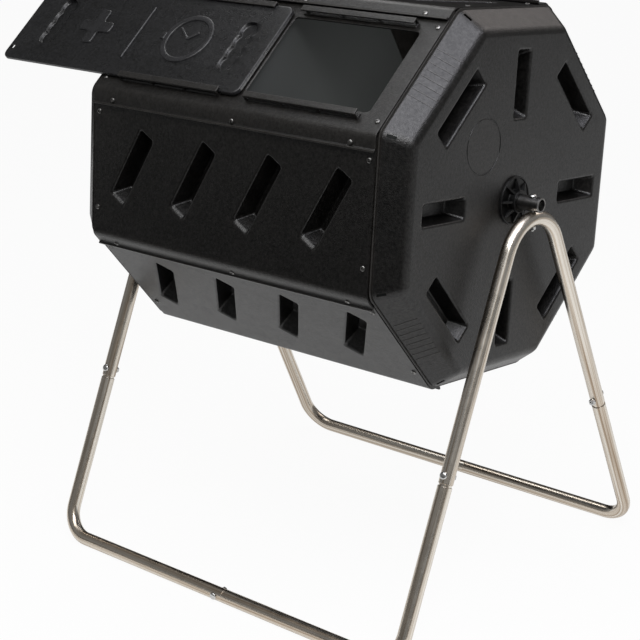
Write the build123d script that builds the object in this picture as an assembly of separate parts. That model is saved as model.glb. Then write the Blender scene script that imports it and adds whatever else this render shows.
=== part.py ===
from build123d import *
import math
import os

# A compost tumbler: an octagonal drum of bent plastic panels that turns on a tube axle in a bolted stand.
# X runs along the axle, the door side faces -Y and +Z is up. The origin is on the ground under the drum.
# Sizes are in millimetres and angles in degrees.

# Drum shell
axle_height = 633.0
drum_turned = -6.0
across_flats = 552.0
panel_wall = 3.0
flange_width = 27.0
flange_lip_height = 3.5
flange_lip_wall = 2.4
bend_radius = 9.0
seat_gap = 0.1
edge_gap = 1.0

# Slanted pockets of the plain panels
pocket_count = 4
pocket_end_margin = 19.5
pocket_drop = 4.0
pocket_tilt = 30.0
pocket_length = 126.0
pocket_width = 30.0
pocket_depth = 32.0
pocket_end_draft = 14.0
pocket_side_draft = 6.0
pocket_corner = 4.0

# End caps
seam_gap = 1.0
band_length = 41.5
face_across_flats = 492.0
cap_wall = 3.5
cap_edge_radius = 8.0
skirt_length = 24.0
face_pocket_width = 33.0
face_pocket_depth = 28.0
face_pocket_draft = 6.0
radial_pocket_length = 100.0
radial_pocket_distance = 169.0
corner_pocket_length = 121.0
corner_pocket_distance = 203.0
badge_radius = 42.0
badge_distance = 121.0
badge_depth = 0.8
corner_slot_length = 14.0
corner_slot_width = 4.5
corner_slot_from_seam = 15.0
grip_line_count = 8
grip_line_pitch = 11.9
grip_line_length = 38.0
grip_line_width = 1.4
grip_line_height = 0.7

# Divider between the chambers
divider_wall_thickness = 3.0
divider_axle_gap = 0.6
tab_length = 26.0
tab_width = 26.0
tab_thickness = 6.0

# Hub bushings
hub_flange_radius = 36.0
hub_flange_thickness = 4.0
hub_boss_radius = 17.0
hub_boss_length = 14.0
hub_sleeve_length = 26.0
hub_rib_count = 8
hub_rib_thickness = 3.0
hub_rib_reach = 33.0
hub_rib_rise = 9.0
hub_ring_wall = 6.0
hub_leg_gap = 8.9
running_gap = 0.08

# Door panel
window_inner = 13.0
window_end_margin = 33.5
window_top = 64.0
window_bottom = -85.0
window_corner = 8.0
rail_inner_margin = 13.0
rail_outer_margin = 11.0
rail_wall = 2.6
rail_lip = 10.0
rail_ledge = 2.3
rail_ledge_width = 7.0
rail_window_count = 3
rail_window_bar = 5.0
rail_window_height = 4.5

# Sliding door
door_length = 524.0
door_width = 170.0
door_middle = -10.0
door_open_end = 10.0
door_height = 5.8
door_wall = 2.6
door_corner = 14.0
door_under_gap = 0.3
door_over_gap = 0.7
door_side_gap = 1.2
door_hole_radius = 4.5
door_hole_inset_x = 9.0
door_hole_inset_v = 22.0
icon_height = 1.2
icon_spacing = 101.0
plus_span = 70.0
plus_arm = 21.0
clock_radius = 47.0
clock_ring = 10.0
clock_hand_width = 5.0
clock_long_hand = 32.0
clock_short_hand = 22.0
clock_long_angle = 143.0
clock_short_angle = 40.0
crown_length = 14.0
crown_width = 13.0
middle_line_length = 104.0
middle_line_width = 4.0
middle_line_shift = -5.0
grip_spacing = 199.0
grip_shift = 6.0
grip_length = 93.0
grip_lobes = 4
grip_lobe_radius = 13.5
grip_depth = 3.6
grip_wall = 2.0

# Stand tubes
tube_diameter = 22.2
tube_wall = 1.2
axle_half_length = 371.5
axle_overhang = 15.5
rail_from_middle = 319.0
apex_radius = 67.5
foot_radius = 48.0
leg_joint_height = 257.0
rail_joint_x = 14.0
spigot_length = 34.0
spigot_gap = 0.15
joint_bolt_back = 15.0

# Bolts, nuts and screws
bolt_diameter = 6.0
bolt_hole_gap = 0.2
bolt_head_radius = 6.0
bolt_head_height = 3.6
bolt_end = 2.5
nut_radius = 5.5
nut_height = 5.0
screw_diameter = 4.0
screw_hole_gap = 0.15
screw_head_radius = 4.0
screw_head_height = 2.1
screw_length = 11.0
head_rounding = 0.6
end_screw_inset = 11.0
end_screw_v = 75.0
door_end_screw_low_v = -97.0
lap_screw_inset = 43.5
lap_screw_middle_x = 14.0
lap_screw_from_corner = 19.0

# Values that follow from the sizes above
side_count = 8
side_angle = 360.0 / side_count
apothem = across_flats / 2
half_side = apothem * math.tan(math.radians(side_angle / 2))
face_apothem = face_across_flats / 2
skirt_apothem = apothem - panel_wall - seat_gap
lap_apothem = apothem + seat_gap
axle_radius = tube_diameter / 2
leg_from_middle = axle_half_length - axle_overhang
face_x = leg_from_middle - axle_radius - hub_leg_gap - hub_boss_length
band_start = face_x - band_length
panel_end = band_start - seam_gap
panel_length = 2 * panel_end
pocket_pitch = (panel_length - 2 * pocket_end_margin) / pocket_count
window_outer = panel_end - window_end_margin
rail_inner_end = window_inner + rail_inner_margin
rail_outer_end = window_outer - rail_outer_margin
end_screw_x = panel_end - end_screw_inset
lap_screw_x = panel_end - lap_screw_inset
lap_screw_v = half_side - lap_screw_from_corner
door_seat = apothem + rail_ledge + door_under_gap
door_top = door_seat + door_height
lip_under = door_top + door_over_gap
door_high = door_middle + door_width / 2 + door_side_gap
door_low = door_middle - door_width / 2 - door_side_gap
door_offset = door_open_end - door_length / 2

parts = {}


def in_drum(shape):
    """Place a shape that was made about the X axis where the turned drum stands."""
    return Pos(0, 0, axle_height) * Rot(drum_turned, 0, 0) * shape


def side_plane(angle, x, v, out):
    """Plane on a drum side: local x along the axle, local y up the side (v), local z outwards."""
    cos_a = math.cos(math.radians(angle))
    sin_a = math.sin(math.radians(angle))
    place = (x, out * cos_a + v * sin_a, out * sin_a - v * cos_a)
    return Plane(origin=place, x_dir=(1, 0, 0), z_dir=(0, cos_a, sin_a))


def octagon(apothem_mm, x):
    """Octagon across the axle at x, with flat sides up, down, front and rear."""
    shape = RegularPolygon(apothem_mm, side_count, major_radius=False, rotation=side_angle / 2)
    return Plane.YZ.offset(x) * shape


def prism(apothem_mm, x_from, x_to):
    return extrude(octagon(apothem_mm, x_from), amount=x_to - x_from)


def rod(plane, radius, low, high):
    """Round bar along a plane's normal."""
    return extrude(plane.offset(low) * Circle(radius), amount=high - low)


def recess(plane, length, width, depth, end_draft, side_draft, corner):
    """Drafted block that narrows along the plane's normal."""
    mouth = plane * RectangleRounded(length, width, corner)
    floor = plane.offset(depth) * RectangleRounded(length - 2 * end_draft, width - 2 * side_draft, corner / 2)
    return loft([mouth, floor])


# Panels
def on_next_side(s, w):
    """Point at s along and w out on the next side, in this side's (w, s) pair."""
    turn = math.radians(side_angle)
    return (w * math.cos(turn) - s * math.sin(turn), w * math.sin(turn) + s * math.cos(turn))


def bend_point(w_here, w_next):
    """Point where a line w_here out on this side meets a line w_next out on the next side."""
    turn = math.radians(side_angle)
    return on_next_side((w_next * math.cos(turn) - w_here) / math.sin(turn), w_next)


def panel_blank():
    """One plate on the +Y side, with its bent flange at the high-Z edge and the flange's lip."""
    inner_bend = bend_radius - panel_wall
    bend_shift = panel_wall / math.sin(math.radians(side_angle))
    start = -half_side + bend_shift + inner_bend * math.tan(math.radians(side_angle / 2)) + edge_gap
    lap_edge = -half_side + flange_width
    lip_top = lap_apothem + panel_wall + flange_lip_height
    inside = bend_point(apothem - panel_wall, lap_apothem)
    outside = bend_point(apothem, lap_apothem + panel_wall)
    outline = [
        (apothem - panel_wall, start),
        inside,
        on_next_side(lap_edge, lap_apothem),
        on_next_side(lap_edge, lip_top),
        on_next_side(lap_edge - flange_lip_wall, lip_top),
        on_next_side(lap_edge - flange_lip_wall, lap_apothem + panel_wall),
        outside,
        (apothem, start),
    ]
    face = make_face(Polyline(*outline, close=True))
    face = fillet(face.vertices().sort_by_distance((*outside, 0))[0], bend_radius)
    face = fillet(face.vertices().sort_by_distance((*inside, 0))[0], inner_bend)
    blank = extrude(Plane.YZ.offset(-panel_end) * face, amount=panel_length)
    hole = screw_diameter / 2 + screw_hole_gap
    for x in (-lap_screw_x, lap_screw_middle_x, lap_screw_x):
        for angle, out in ((0, apothem), (side_angle, lap_apothem)):
            blank -= rod(side_plane(angle, x, lap_screw_v, out), hole, -2 * panel_wall, 2 * panel_wall)
    return blank


def end_screw_places(low_v):
    return [(x, v) for x in (-end_screw_x, end_screw_x) for v in (low_v, end_screw_v)]


def screwed(blank, low_v):
    """The panel with the holes for its four end screws."""
    hole = screw_diameter / 2 + screw_hole_gap
    for x, v in end_screw_places(low_v):
        blank -= rod(side_plane(0, x, v, apothem), hole, -2 * panel_wall, panel_wall)
    return blank


def plain_panel():
    """Panel with the row of slanted pockets pressed into it."""
    panel = screwed(panel_blank(), -end_screw_v)
    tilt = math.radians(pocket_tilt)
    first = -(pocket_count - 1) / 2 * pocket_pitch
    cuts = []
    for i in range(pocket_count):
        centre = (first + i * pocket_pitch, apothem, pocket_drop)
        plane = Plane(origin=centre, x_dir=(math.sin(tilt), 0, -math.cos(tilt)), z_dir=(0, -1, 0))
        skin = 2 * panel_wall
        panel += recess(plane, pocket_length + skin, pocket_width + skin, pocket_depth + panel_wall,
                        pocket_end_draft, pocket_side_draft, pocket_corner + panel_wall)
        cuts.append(recess(plane, pocket_length, pocket_width, pocket_depth,
                           pocket_end_draft, pocket_side_draft, pocket_corner))
    for cut in cuts:
        panel -= cut
    return panel


def rail(x_from, x_to, wall_v, inward):
    """Hooked rail on the door panel: a ledge, a pierced wall and a lip that reaches inward over the door."""
    middle = (x_from + x_to) / 2
    length = x_to - x_from
    wall = side_plane(0, middle, wall_v - inward * rail_wall / 2, apothem)
    shape = extrude(wall * Rectangle(length, rail_wall), amount=lip_under + rail_wall - apothem)
    lip = side_plane(0, middle, wall_v + inward * (rail_lip / 2 - rail_wall), lip_under)
    shape += extrude(lip * Rectangle(length, rail_lip), amount=rail_wall)
    ledge = side_plane(0, middle, wall_v + inward * rail_ledge_width / 2, apothem)
    shape += extrude(ledge * Rectangle(length, rail_ledge_width), amount=rail_ledge)
    pitch = (length - rail_window_bar) / rail_window_count
    for i in range(rail_window_count):
        x = x_from + rail_window_bar / 2 + (i + 0.5) * pitch
        hole = side_plane(0, x, wall_v - inward * rail_wall / 2, apothem + rail_ledge)
        shape -= extrude(hole * Rectangle(pitch - rail_window_bar, 2 * rail_wall), amount=rail_window_height)
    return shape


def door_panel_part():
    """Panel with a window over each chamber and a rail above and below each window."""
    panel = screwed(panel_blank(), door_end_screw_low_v)
    window_height = window_top - window_bottom
    window_v = (window_top + window_bottom) / 2
    for hand in (-1, 1):
        x = hand * (window_inner + window_outer) / 2
        frame = side_plane(0, x, window_v, apothem + panel_wall)
        window = frame * RectangleRounded(window_outer - window_inner, window_height, window_corner)
        panel -= extrude(window, amount=-3 * panel_wall)
        ends = sorted((hand * rail_inner_end, hand * rail_outer_end))
        panel += rail(ends[0], ends[1], door_high, -1)
        panel += rail(ends[0], ends[1], door_low, 1)
    return panel


# End caps
band_fall = (apothem - face_apothem) / band_length
band_slant = math.hypot(1, band_fall)


def cap_shell():
    """Dished octagonal shell: a skirt under the panels' ends, a slanted band and a flat face."""
    outer = loft([octagon(apothem, band_start), octagon(face_apothem, face_x)])
    base = outer.faces().sort_by(Axis.X)[0]
    outer = fillet([edge for edge in outer.edges() if edge not in base.edges()], cap_edge_radius)
    run_in = (apothem - skirt_apothem) / band_fall / 2
    outer += prism(skirt_apothem, band_start - skirt_length, band_start + run_in)
    dish_start = band_start + cap_wall
    dish_end = face_x - cap_wall
    wall_across = cap_wall * band_slant
    dish_ends = (dish_start, dish_end)
    dish = loft([octagon(apothem - band_fall * (x - band_start) - wall_across, x) for x in dish_ends])
    mouth = prism(skirt_apothem - cap_wall, band_start - skirt_length, dish_start)
    return outer - dish - mouth


def face_pockets(grow, deepen):
    """The eight drafted blocks of the face pockets: four radial, four along the slanted sides."""
    blocks = []
    for i in range(side_count):
        angle = math.radians(i * side_angle)
        radial = i % 2 == 0
        distance = radial_pocket_distance if radial else corner_pocket_distance
        length = radial_pocket_length if radial else corner_pocket_length
        turn = angle if radial else angle + math.pi / 2
        centre = (face_x, distance * math.cos(angle), distance * math.sin(angle))
        plane = Plane(origin=centre, x_dir=(0, math.cos(turn), math.sin(turn)), z_dir=(-1, 0, 0))
        width = face_pocket_width + 2 * grow
        blocks.append(recess(plane, length + 2 * grow, width, face_pocket_depth + deepen,
                             pocket_end_draft, face_pocket_draft, pocket_corner + grow))
    return blocks


def band_point(i, x_from_seam, along):
    """Plane on the slanted band: i counts half sides round the drum, so odd numbers are corners."""
    angle = math.radians(i * side_angle / 2)
    stretch = 1 if i % 2 == 0 else 1 / math.cos(math.radians(side_angle / 2))
    fall = band_fall * stretch
    out = (apothem - band_fall * x_from_seam) * stretch
    place = (band_start + x_from_seam,
             out * math.cos(angle) - along * math.sin(angle),
             out * math.sin(angle) + along * math.cos(angle))
    down = (1, -fall * math.cos(angle), -fall * math.sin(angle))
    normal = (fall, math.cos(angle), math.sin(angle))
    return Plane(origin=place, x_dir=down, z_dir=normal)


def grip_lines():
    """Fine raised lines across the band on the four slanted sides."""
    lines = []
    first = -(grip_line_count - 1) / 2 * grip_line_pitch
    for i in range(2, 2 * side_count, 4):
        for j in range(grip_line_count):
            plane = band_point(i, band_length / 2, first + j * grip_line_pitch)
            bar = Rectangle(grip_line_length, grip_line_width)
            lines.append(extrude(plane.offset(-grip_line_height) * bar, amount=2 * grip_line_height))
    return lines


def corner_slots():
    """Small slots at the band's corners."""
    slots = []
    for i in range(1, 2 * side_count, 2):
        plane = band_point(i, corner_slot_from_seam, 0)
        slot = Rectangle(corner_slot_length, corner_slot_width)
        slots.append(extrude(plane.offset(-3 * cap_wall) * slot, amount=6 * cap_wall))
    return slots


def cap_screw_holes():
    holes = []
    radius = screw_diameter / 2 + screw_hole_gap
    for name, angle in panel_angles.items():
        low_v = door_end_screw_low_v if name == "door_panel" else -end_screw_v
        for v in (low_v, end_screw_v):
            plane = side_plane(angle, end_screw_x, v, skirt_apothem)
            holes.append(rod(plane, radius, -2 * cap_wall, cap_wall))
    return holes


def end_cap():
    """The cap at the +X end."""
    cap = cap_shell() + face_pockets(cap_wall, cap_wall) + grip_lines()
    ring_radius = hub_boss_radius + hub_ring_wall
    cap += rod(Plane.YZ, ring_radius, face_x - hub_sleeve_length / 2, face_x - cap_wall / 2)
    badge_angle = math.radians(panel_angles["door_panel"])
    badge_y = badge_distance * math.cos(badge_angle)
    badge_z = badge_distance * math.sin(badge_angle)
    badge_plane = Plane(origin=(face_x, badge_y, badge_z), z_dir=(1, 0, 0))
    cuts = face_pockets(0, 0) + corner_slots() + cap_screw_holes()
    cuts.append(rod(badge_plane, badge_radius, -badge_depth, cap_wall))
    cuts.append(rod(Plane.YZ, hub_boss_radius + seat_gap, face_x - hub_sleeve_length, face_x + cap_wall))
    return cap - cuts


# Divider wall
def divider():
    """Flat wall across the drum's middle, with a screw tab under each lapped flange."""
    wall = prism(skirt_apothem, -divider_wall_thickness / 2, divider_wall_thickness / 2)
    for i in range(side_count):
        plane = side_plane(i * side_angle, tab_length / 2, lap_screw_v, skirt_apothem)
        wall += extrude(plane * Rectangle(tab_length, tab_width), amount=-tab_thickness)
    for i in range(side_count):
        plane = side_plane(i * side_angle, lap_screw_middle_x, lap_screw_v, skirt_apothem)
        wall -= rod(plane, screw_diameter / 2 + screw_hole_gap, -2 * tab_thickness, tab_thickness)
    return wall - rod(Plane.YZ, axle_radius + divider_axle_gap, -tab_length, tab_length)


# Hub bushings
def hub_bushing():
    """Ribbed flange outside the cap's face, with a sleeve through it that runs on the axle."""
    hub = rod(Plane.YZ, hub_flange_radius, face_x, face_x + hub_flange_thickness)
    hub += rod(Plane.YZ, hub_boss_radius, face_x - hub_sleeve_length, face_x + hub_boss_length)
    root = face_x + hub_flange_thickness / 2
    rib_face = make_face(Polyline(
        (root, axle_radius + hub_rib_thickness),
        (face_x + hub_flange_thickness + hub_rib_rise, axle_radius + hub_rib_thickness),
        (face_x + hub_flange_thickness + hub_rib_rise, hub_boss_radius),
        (face_x + hub_flange_thickness, hub_rib_reach),
        (root, hub_rib_reach),
        close=True,
    ))
    rib = extrude(Plane.XZ * rib_face, amount=hub_rib_thickness / 2, both=True)
    hub += [Rot(i * 360 / hub_rib_count, 0, 0) * rib for i in range(hub_rib_count)]
    return hub - rod(Plane.YZ, axle_radius + running_gap, 0, face_x + 2 * hub_boss_length)


# Sliding door
def rounded_plate(length, width, corner, low, high):
    return extrude(Pos(0, 0, low) * RectangleRounded(length, width, corner), amount=high - low)


def grip_outline(grow):
    """Row of joined circles, so the finger grip has scalloped sides."""
    pitch = (grip_length - 2 * grip_lobe_radius) / (grip_lobes - 1)
    places = [Pos(0, (i - (grip_lobes - 1) / 2) * pitch) for i in range(grip_lobes)]
    return Sketch() + [place * Circle(grip_lobe_radius + grow) for place in places]


def clock_face():
    """Ring, two hands and a crown, as one flat outline."""
    hands = []
    for length, angle in ((clock_long_hand, clock_long_angle), (clock_short_hand, clock_short_angle)):
        hands.append(Rot(0, 0, angle) * Pos(length / 2, 0) * Rectangle(length, clock_hand_width))
    crown_middle = clock_radius + (crown_length - clock_ring) / 2
    crown = Pos(-crown_middle, 0) * Rectangle(crown_length, crown_width)
    ring = Circle(clock_radius) - Circle(clock_radius - clock_ring)
    return Sketch() + [ring, crown] + hands


def door():
    """Shallow tray, open below, with raised signs, a grip near each end and a corner hole."""
    tray = rounded_plate(door_length, door_width, door_corner, 0, door_height)
    tray -= rounded_plate(door_length - 2 * door_wall, door_width - 2 * door_wall, door_corner - door_wall,
                          0, door_height - door_wall)
    for hand in (-1, 1):
        x = hand * grip_spacing + grip_shift
        tray += extrude(Pos(x, 0, 0) * grip_outline(grip_wall), amount=door_height)
        tray -= extrude(Pos(x, 0, door_height) * grip_outline(0), amount=-grip_depth)
    plus = Rectangle(plus_span, plus_arm) + Rectangle(plus_arm, plus_span)
    line = Pos(middle_line_shift, 0) * Rectangle(middle_line_width, middle_line_length)
    signs = [Pos(-icon_spacing, 0) * plus, Pos(icon_spacing, 0) * clock_face(), line]
    tray += [extrude(Pos(0, 0, door_height - icon_height) * sign, amount=2 * icon_height) for sign in signs]
    hole_x = -door_length / 2 + door_hole_inset_x
    hole_y = -door_width / 2 + door_hole_inset_v
    return tray - rod(Plane(origin=(hole_x, hole_y, 0)), door_hole_radius, -door_height, 2 * door_height)


# Stand tubes
tube_radius = tube_diameter / 2
rail_z = tube_radius
apex_top_z = axle_height - axle_radius - seat_gap - tube_radius
apex_centre_z = apex_top_z - apex_radius
foot_distance = math.hypot(rail_from_middle, rail_z - apex_centre_z)
foot_angle = math.atan2(rail_z - apex_centre_z, rail_from_middle)
lean = foot_angle + math.acos(apex_radius / foot_distance)
leg_corner_z = apex_centre_z + apex_radius / math.sin(lean)
joint_y = rail_from_middle * (leg_corner_z - leg_joint_height) / (leg_corner_z - rail_z)
leg_up = Vector(0, -rail_from_middle, leg_corner_z - rail_z).normalized()


def tube(points, radius):
    """Round tube along straight runs joined by bends of one radius."""
    path = FilletPolyline(*points, radius=radius)
    ring = Circle(tube_radius) - Circle(tube_radius - tube_wall)
    return sweep(Plane(origin=path @ 0, z_dir=path % 0) * ring, path=path)


def spigot(plane):
    """Swaged end that plugs into the next tube, with its shoulder behind the plane."""
    outer = tube_radius - tube_wall - spigot_gap
    shape = rod(plane, tube_radius, -tube_wall, 0) + rod(plane, outer, -tube_wall, spigot_length)
    return shape - rod(plane, outer - tube_wall, -2 * tube_wall, 2 * spigot_length)


def leg_direction(side):
    """Unit vector up a leg; side is -1 at the front and 1 at the rear."""
    return Vector(0, side * leg_up.Y, leg_up.Z)


def leg_bolt_plane(x, side):
    """Across a leg joint, in the plane of the two legs, looking out of the stand."""
    up = leg_direction(side)
    place = Vector(x, side * joint_y, leg_joint_height) + up * joint_bolt_back
    return Plane(origin=place, x_dir=(1, 0, 0), z_dir=(0, side * up.Z, -side * up.Y))


def rail_bolt_plane(side):
    return Plane(origin=(rail_joint_x - joint_bolt_back, side * rail_from_middle, rail_z), z_dir=(0, side, 0))


def axle_bolt_plane(x):
    return Plane(origin=(x, 0, axle_height), z_dir=(0, 0, 1))


def bolt_hole(plane, low, high):
    return rod(plane, bolt_diameter / 2 + bolt_hole_gap, low, high)


def upper_leg(x):
    ends = [(x, side * joint_y, leg_joint_height) for side in (-1, 1)]
    leg = tube([ends[0], (x, 0, leg_corner_z), ends[1]], apex_radius)
    for side in (-1, 1):
        leg -= bolt_hole(leg_bolt_plane(x, side), -2 * tube_radius, 2 * tube_radius)
    return leg - bolt_hole(axle_bolt_plane(x), apex_top_z - axle_height - 2 * tube_radius, 0)


def lower_leg(hand, side):
    """L-shaped tube; at the +X hand its rail end is swaged too and plugs into the other half of the rail."""
    x = hand * leg_from_middle
    top = Vector(x, side * joint_y, leg_joint_height)
    foot = (x, side * rail_from_middle, rail_z)
    rail_end = (rail_joint_x, side * rail_from_middle, rail_z)
    leg = tube([top, foot, rail_end], foot_radius)
    leg += spigot(Plane(origin=top, z_dir=leg_direction(side)))
    if hand > 0:
        leg += spigot(Plane(origin=rail_end, z_dir=(-1, 0, 0)))
    leg -= bolt_hole(leg_bolt_plane(x, side), -2 * tube_radius, 2 * tube_radius)
    return leg - bolt_hole(rail_bolt_plane(side), -2 * tube_radius, 2 * tube_radius)


def axle():
    tube_part = rod(Plane.YZ, axle_radius, -axle_half_length, axle_half_length)
    tube_part -= rod(Plane.YZ, axle_radius - tube_wall, -axle_half_length, axle_half_length)
    tube_part = Pos(0, 0, axle_height) * tube_part
    for hand in (-1, 1):
        tube_part -= bolt_hole(axle_bolt_plane(hand * leg_from_middle), -2 * axle_radius, 2 * axle_radius)
    return tube_part


# Bolts, nuts and screws
def domed_head(radius, height):
    head = extrude(Circle(radius), amount=height)
    return fillet(head.edges().sort_by(Axis.Z)[-1], height * head_rounding)


def bolt(plane, head_at, nut_at):
    """Round-headed bolt along the plane's normal, with its nut's seat at nut_at."""
    head = plane.offset(head_at).location * domed_head(bolt_head_radius, bolt_head_height)
    return head + rod(plane, bolt_diameter / 2, nut_at - nut_height - bolt_end, head_at)


def nut(plane, nut_at):
    body = extrude(plane.offset(nut_at) * RegularPolygon(nut_radius, 6), amount=-nut_height)
    return body - rod(plane, bolt_diameter / 2 + seat_gap, nut_at - 2 * nut_height, nut_at + nut_height)


def screw(plane):
    """Pan-head screw with its head on the plane."""
    head = plane.location * domed_head(screw_head_radius, screw_head_height)
    return head + rod(plane, screw_diameter / 2, -screw_length, 0)


def end_screws(hand):
    screws = []
    for name, angle in panel_angles.items():
        low_v = door_end_screw_low_v if name == "door_panel" else -end_screw_v
        for v in (low_v, end_screw_v):
            screws.append(screw(side_plane(angle, hand * end_screw_x, v, apothem)))
    return screws


def lap_screws():
    screws = []
    for angle in panel_angles.values():
        for x in (-lap_screw_x, lap_screw_middle_x, lap_screw_x):
            screws.append(screw(side_plane(angle, x, lap_screw_v, lap_apothem + panel_wall)))
    return screws


# Drum
panel_names = [
    "rear_panel",
    "upper_rear_panel",
    "top_panel",
    "door_panel",
    "front_panel",
    "lower_front_panel",
    "bottom_panel",
    "lower_rear_panel",
]
panel_angles = {name: i * side_angle for i, name in enumerate(panel_names)}
plain = plain_panel()
for name, angle in panel_angles.items():
    shape = door_panel_part() if name == "door_panel" else plain
    parts[name] = in_drum(Rot(angle, 0, 0) * shape)
cap = end_cap()
hub = hub_bushing()
parts["end_cap_right"] = in_drum(cap)
parts["end_cap_left"] = in_drum(mirror(cap, about=Plane.YZ))
parts["hub_bushing_right"] = in_drum(hub)
parts["hub_bushing_left"] = in_drum(mirror(hub, about=Plane.YZ))
parts["divider_wall"] = in_drum(divider())
parts["end_screws_right"] = Compound(children=[in_drum(one) for one in end_screws(1)])
parts["end_screws_left"] = Compound(children=[in_drum(one) for one in end_screws(-1)])
parts["lap_screws"] = Compound(children=[in_drum(one) for one in lap_screws()])

# Door
door_place = side_plane(0, door_offset, door_middle, door_seat)
parts["sliding_door"] = in_drum(Rot(panel_angles["door_panel"], 0, 0) * door_place.location * door())

# Stand
parts["axle_tube"] = axle()
for hand, hand_name in ((1, "right"), (-1, "left")):
    parts["upper_leg_" + hand_name] = upper_leg(hand * leg_from_middle)
    for side, side_name in ((-1, "front"), (1, "rear")):
        parts["lower_leg_" + side_name + "_" + hand_name] = lower_leg(hand, side)

axle_planes = [axle_bolt_plane(hand * leg_from_middle) for hand in (-1, 1)]
apex_inside = apex_radius - tube_radius
nut_drop = apex_inside - math.sqrt(apex_inside ** 2 - nut_radius ** 2)
apex_under = apex_top_z - tube_radius - axle_height - nut_drop
parts["axle_bolts"] = Compound(children=[bolt(plane, axle_radius, apex_under) for plane in axle_planes])
parts["axle_nuts"] = Compound(children=[nut(plane, apex_under) for plane in axle_planes])
joint_planes = [leg_bolt_plane(hand * leg_from_middle, side) for hand in (-1, 1) for side in (-1, 1)]
joint_planes += [rail_bolt_plane(side) for side in (-1, 1)]
parts["stand_bolts"] = Compound(children=[bolt(plane, tube_radius, -tube_radius) for plane in joint_planes])
parts["stand_nuts"] = Compound(children=[nut(plane, -tube_radius) for plane in joint_planes])

os.makedirs("parts", exist_ok=True)
for name, shape in parts.items():
    export_step(shape, "parts/" + name + ".step")
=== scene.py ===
import math

import bmesh
import bpy
from bmesh.types import BMEdge, BMVert
from mathutils import Matrix, Vector


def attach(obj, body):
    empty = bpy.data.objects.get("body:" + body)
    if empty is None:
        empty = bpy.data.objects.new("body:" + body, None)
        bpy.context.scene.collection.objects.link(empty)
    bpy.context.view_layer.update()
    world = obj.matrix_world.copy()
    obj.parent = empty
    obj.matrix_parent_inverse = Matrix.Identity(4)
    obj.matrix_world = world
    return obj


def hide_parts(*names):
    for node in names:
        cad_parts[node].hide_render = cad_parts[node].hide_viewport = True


# A compost tumbler: an octagonal plastic drum with two chambers and a sliding door, on a bolted tube stand.
# X runs along the axle, the door side faces -Y and +Z is up. Sizes are written in millimetres, times mm.
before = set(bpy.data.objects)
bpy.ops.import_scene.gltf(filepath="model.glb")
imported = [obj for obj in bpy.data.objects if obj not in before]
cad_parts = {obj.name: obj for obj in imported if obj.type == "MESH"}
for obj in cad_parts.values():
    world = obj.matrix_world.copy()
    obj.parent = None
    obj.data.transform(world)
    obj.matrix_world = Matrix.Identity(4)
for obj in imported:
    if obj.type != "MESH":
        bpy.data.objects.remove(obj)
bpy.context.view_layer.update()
mm = 0.001

# Lower legs
# Four lengths of galvanised steel tube, each bent once into an L. The top is swaged to plug into an upper
# leg, and the foot lies on the ground as half of a rail; the right halves plug into the left ones.
tube_radius = 11.1 * mm
tube_bore = 8.5 * mm
tube_sides = 36
bend_steps = 16
end_chamfer = 0.8 * mm
edge_radius = tube_radius - end_chamfer
leg_x = 356 * mm
rail_y = 319 * mm
joint_y = 205.91 * mm
joint_z = 257 * mm
foot_bend = 48 * mm
rail_joint_x = 14 * mm
plug_radius = 9.7 * mm
plug_length = 34 * mm
# Spread of the painted reflection streaks round and along the tubes.
reflection_streaks_round = 2.4
reflection_streaks_along = 1.8
sharp_angle = math.radians(40)
flat_weight = 80
hands = ((1, "right"), (-1, "left"))


def only(kind, parts):
    """The points or the edges among an operator's results."""
    return [part for part in parts if isinstance(part, kind)]


def drawn(mesh, edges, by=(0, 0, 0), grow=(1, 1, 1), place=Matrix()):
    """Extrude a row of edges, resize and move the new row in a place's own frame, and return it."""
    new = bmesh.ops.extrude_edge_only(mesh, edges=edges)["geom"]
    verts = only(BMVert, new)
    bmesh.ops.scale(mesh, vec=grow, space=place.inverted(), verts=verts)
    bmesh.ops.translate(mesh, vec=by, space=place.inverted(), verts=verts)
    return only(BMEdge, new)


def swung(mesh, edges, centre, axis, angle, steps):
    """Spin a row of edges round an axis and return the last row."""
    arc = bmesh.ops.spin(mesh, geom=edges, cent=centre, axis=axis, angle=angle, steps=steps, use_merge=False)
    return only(BMEdge, arc["geom_last"])


def resized(mesh, edges, by, centre, old_radius, new_radius):
    """Draw a ring of a tube on by a vector while its radius changes."""
    share = new_radius / old_radius
    return drawn(mesh, edges, by, (share, share, share), Matrix.Translation(centre))


def edges_at(verts):
    """Every edge that meets one of the points."""
    return list({edge for vert in verts for edge in vert.link_edges})


def ring_of(mesh, segments, radius, place):
    """Closed row of edges round a circle or a polygon."""
    ring = bmesh.ops.create_circle(mesh, cap_ends=False, segments=segments, radius=radius, matrix=place)
    return edges_at(ring["verts"])


def tube_ring(mesh, centre, along, radius):
    """Ring of edges across a tube; each point keeps its place round the tube, for the painted reflection
    streaks.
    """
    layer = mesh.verts.layers.float_vector.new("round_tube")
    turn = along.to_track_quat("Z", "Y").to_matrix().to_4x4()
    ring = ring_of(mesh, tube_sides, radius, Matrix.Translation(centre) @ turn)
    for vert in mesh.verts:
        vert[layer] = turn.inverted() @ (vert.co - centre) / radius
    return ring


def bent(mesh, edges, points, bend):
    """Draw a ring along straight runs joined by bends of one radius."""
    at = points[0]
    along = (points[1] - at).normalized()
    for corner, beyond in zip(points[1:-1], points[2:]):
        onward = (beyond - corner).normalized()
        angle = along.angle(onward)
        reach = bend * math.tan(angle / 2)
        start = corner - along * reach
        edges = drawn(mesh, edges, start - at)
        side = (onward - along * onward.dot(along)).normalized()
        axis = along.cross(onward).normalized()
        edges = swung(mesh, edges, start + side * bend, axis, angle, bend_steps)
        at = corner + onward * reach
        along = onward
    return drawn(mesh, edges, points[-1] - at)


def faced_out(mesh):
    """Turn every face of a shape outwards."""
    bmesh.ops.recalc_face_normals(mesh, faces=mesh.faces)


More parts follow.
